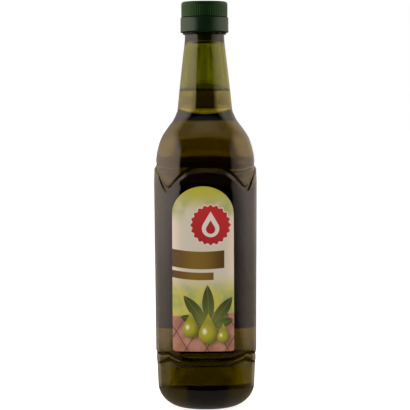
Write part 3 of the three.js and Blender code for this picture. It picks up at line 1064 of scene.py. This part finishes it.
def front_print_material():
    """A generic print of plain shapes in the colours of an oil label."""
    material, tree, shader = new_material("front_print")
    place = surface_place(tree)
    parts = parts_of(tree, place)
    x, z = parts[0] / MM - FRONT_LABEL["shift"], parts[2] / MM
    soft = noise(tree, place, PRINT_SOFT_SCALE)
    fine = noise(tree, place, PRINT_FINE_SCALE, GRAIN_DETAIL)
    cloud = noise(tree, place, PRINT_CLOUD_SCALE)

    colour = print_ground(tree, x, z, soft, cloud)
    colour = print_bars(tree, colour, x, z, fine)
    colour = print_seal(tree, colour, x, z)
    colour = print_tiles(tree, colour, x, z, cloud, fine)
    colour = print_leaves(tree, colour, x, z, soft)
    colour = print_drops(tree, colour, x, z)

    tree.links.new(colour, shader.inputs["Base Color"])
    tree.links.new((fine * ROUGHNESS_SPREAD + PRINT_ROUGHNESS).value, shader.inputs["Roughness"])
    bumped(tree, shader, fine, PRINT_GRAIN, GRAIN_SIZE)
    return material


# Pieces

skin_points, skin_faces = bottle_mesh()
bottle_skin = new_piece("bottle_skin", skin_points, skin_faces, pet_material(), "tinted_plastic", "bottle")
mark_dry_faces(bottle_skin, skin_points, skin_faces)

dark_pourer = opaque_material("dark_pourer_plastic", **POURER_PLASTIC)
ribbed_green = opaque_material("ribbed_green_plastic", **CAP_PLASTIC)
smooth_green = opaque_material("smooth_green_plastic", **BAND_PLASTIC)
front_print = front_print_material()
back_print = opaque_material("back_print", **BACK_PRINT)
new_piece("neck_pourer", *pourer_mesh(), dark_pourer, "pourer_plastic", "pourer")
new_piece("oil_fill", *oil_mesh(), oil_material(), "olive_oil", "oil")
new_piece("ribbed_cap", *cap_mesh(), ribbed_green, "green_cap", "cap")
new_piece("smooth_band", *band_mesh(), smooth_green, "green_band", "cap_band")
new_piece("printed_front_label", *label_mesh(FRONT_LABEL), front_print, "front_print", "front_label")
new_piece("printed_back_label", *label_mesh(BACK_LABEL), back_print, "back_print", "back_label")


# Floor: all of it shows to the camera, its inner two rings through the bottle, and only the patch that the
# bottle stands on in the bottle's mirror

def emission(tree, colour, strength):
    node = tree.nodes.new("ShaderNodeEmission")
    for slot, value in (("Color", colour), ("Strength", strength)):
        if isinstance(value, bpy.types.NodeSocket):
            tree.links.new(value, node.inputs[slot])
        else:
            node.inputs[slot].default_value = value
    return node.outputs[0]


def blended(tree, first, second, share):
    """Shader that turns from the first to the second with a share."""
    node = tree.nodes.new("ShaderNodeMixShader")
    tree.links.new(share.value, node.inputs[0])
    tree.links.new(first, node.inputs[1])
    tree.links.new(second, node.inputs[2])
    return node.outputs[0]


def vector_math(tree, operation, vector, output):
    node = tree.nodes.new("ShaderNodeVectorMath")
    node.operation = operation
    tree.links.new(vector, node.inputs[0])
    return node.outputs[output]


def table_light(tree):
    """The lit table, whose brightness goes by the distance from the bottle, behind it and aside of that."""
    place = surface_place(tree)
    heading = parts_of(tree, vector_math(tree, "NORMALIZE", place, "Vector"))
    aside = (heading[0] - ASIDE_CENTRE).size().share(ASIDE_FROM, ASIDE_TO, eased=False)
    reach = ASIDE_LIGHT[-1][0]
    peak = max(value for distance, value in ASIDE_LIGHT)
    share = Field(tree, vector_math(tree, "LENGTH", place, "Value")) / reach
    behind, beside = (
        ramp(tree, [(distance / reach, value / peak) for distance, value in profile], share.value)
        for profile in (BEHIND_LIGHT, ASIDE_LIGHT)
    )
    brightness = (behind + (beside - behind) * aside) * peak
    return emission(tree, paint(tree, TABLE_NEAR, WARM, share), brightness.value)


def floor_material():
    """White to the camera, dim in mirrors, and a lit table where it shows through the bottle."""
    material, tree, shader = new_material("pale_floor")
    shader.inputs["Base Color"].default_value = opaque([FLOOR_ALBEDO] * 3)
    shader.inputs["Roughness"].default_value = FLOOR_ROUGHNESS
    shader.inputs["Specular IOR Level"].default_value = 0
    shader.inputs["Emission Color"].default_value = opaque((1, 1, 1))
    shader.inputs["Emission Strength"].default_value = FLOOR_GLOW
    path = tree.nodes.new("ShaderNodeLightPath")
    through = Field(tree, path.outputs["Is Transmission Ray"])
    mirrored = Field(tree, path.outputs["Is Glossy Ray"]).made("SUBTRACT", through, clamped=True)
    seen = blended(tree, shader.outputs[0], table_light(tree), through)
    whole = blended(tree, seen, emission(tree, opaque(WARM), FLOOR_MIRRORED), mirrored)
    tree.links.new(whole, tree.nodes["Material Output"].inputs["Surface"])
    return material


def floor_ring(name, inner, outer, material):
    around = np.arange(FLOOR_SIDES) * 2 * math.pi / FLOOR_SIDES
    rings = [ring(outer / MM, 0, around)]
    faces = [tuple(range(FLOOR_SIDES))]
    if inner:
        rings.append(ring(inner / MM, 0, around))
        steps = [(i, (i + 1) % FLOOR_SIDES) for i in range(FLOOR_SIDES)]
        faces = [(i, j, FLOOR_SIDES + j, FLOOR_SIDES + i) for i, j in steps]
    mesh = bpy.data.meshes.new(name)
    mesh.from_pydata((np.concatenate(rings) * MM).tolist(), [], faces)
    mesh.materials.append(material)
    piece = bpy.data.objects.new(name, mesh)
    bpy.context.scene.collection.objects.link(piece)
    return piece


pale_floor = floor_material()
floor = {name: floor_ring(name, inner, outer, pale_floor) for name, inner, outer in FLOOR_RINGS}
floor["table"].visible_glossy = False
floor["floor"].visible_glossy = False
floor["floor"].visible_transmission = False


# Lights, world and camera

def softbox(name, side, brightness):
    """An upright light square to its azimuth, with a brightness that falls off across it and down it."""
    first, last = brightness[0][0], brightness[-1][0]

    def across(azimuth):
        return SOFTBOX_AWAY * math.tan(math.radians(azimuth - SOFTBOX_FACING))

    inner, outer = across(first), across(last)
    light = bpy.data.lights.new(name, "AREA")
    light.shape = "RECTANGLE"
    light.size = outer - inner
    light.size_y = SOFTBOX_HIGH - SOFTBOX_LOW
    light.energy = SOFTBOX_PEAK * math.pi * light.size * light.size_y
    light.color = WARM
    light.use_nodes = True
    tree = light.node_tree
    place = tree.nodes.new("ShaderNodeNewGeometry").outputs["Parametric"]
    sideways_share, rise_share = parts_of(tree, place)[:2]

    def over_azimuth(profile):
        stops = [((across(min(a, last)) - inner) / light.size, v / SOFTBOX_PEAK) for a, v in profile]
        if side < 0:
            stops = [(1 - position, value) for position, value in stops[::-1]]
        return ramp(tree, stops, sideways_share.value)

    rise = ramp(tree, [((h - SOFTBOX_LOW) / light.size_y, v) for h, v in RISE_BRIGHTNESS], rise_share.value)
    shown = (over_azimuth(brightness) * rise).most(over_azimuth(RIM_BRIGHTNESS))
    tree.links.new(shown.value, tree.nodes["Emission"].inputs["Strength"])
    box = bpy.data.objects.new(name, light)
    turn = math.radians(CAMERA_AZIMUTH + side * SOFTBOX_FACING)
    middle = side * (inner + outer) / 2
    box.location = (
        SOFTBOX_AWAY * math.sin(turn) + middle * math.cos(turn),
        -SOFTBOX_AWAY * math.cos(turn) + middle * math.sin(turn),
        (SOFTBOX_LOW + SOFTBOX_HIGH) / 2,
    )
    box.rotation_euler = (QUARTER, 0, turn)
    bpy.context.scene.collection.objects.link(box)


def top_light():
    """Weak light from above for the cap and the labels, which no mirror shows."""
    light = bpy.data.lights.new("top_light", "AREA")
    light.size = TOP_LIGHT_SIZE
    light.energy = TOP_LIGHT_POWER
    lamp = bpy.data.objects.new("top_light", light)
    lamp.location = TOP_LIGHT_PLACE
    lamp.visible_glossy = False
    bpy.context.scene.collection.objects.link(lamp)


def build_world():
    """White to the camera, dim in mirrors and through the bottle, as a cut-out studio picture is."""
    world = bpy.data.worlds.new("studio")
    bpy.context.scene.world = world
    world.use_nodes = True
    tree = world.node_tree
    path = tree.nodes.new("ShaderNodeLightPath")
    direction = parts_of(tree, tree.nodes.new("ShaderNodeTexCoord").outputs["Generated"])
    ceiling = ramp(tree, CEILING, direction[2].value)
    level = [WORLD_AMBIENT * c for c in WARM]
    shades = (
        ("Is Glossy Ray", ceiling.value),
        ("Is Transmission Ray", [WORLD_THROUGH * c for c in WARM]),
        ("Is Camera Ray", [WORLD_SEEN] * 3),
    )
    for output, shade in shades:
        level = paint(tree, level, shade, Field(tree, path.outputs[output]))
    tree.links.new(level, tree.nodes["Background"].inputs["Color"])


def place_camera():
    camera = bpy.data.objects.new("camera", bpy.data.cameras.new("camera"))
    bpy.context.scene.collection.objects.link(camera)
    bpy.context.scene.camera = camera
    camera.data.sensor_width = SENSOR_WIDTH
    camera.data.lens = SENSOR_WIDTH * FOCAL_PIXELS / FRAME_WIDTH
    azimuth = math.radians(CAMERA_AZIMUTH)
    aside, ahead = math.sin(azimuth), -math.cos(azimuth)
    camera.location = (CAMERA_DISTANCE * aside, CAMERA_DISTANCE * ahead, CAMERA_HEIGHT)
    camera.rotation_euler = (math.radians(90 - CAMERA_PITCH), math.radians(CAMERA_ROLL), azimuth)
    camera.rotation_mode = "XYZ"


softbox("left_softbox", -1, LEFT_BRIGHTNESS)
softbox("right_softbox", 1, RIGHT_BRIGHTNESS)
top_light()
build_world()
place_camera()
bpy.context.scene.view_settings.view_transform = "Standard"
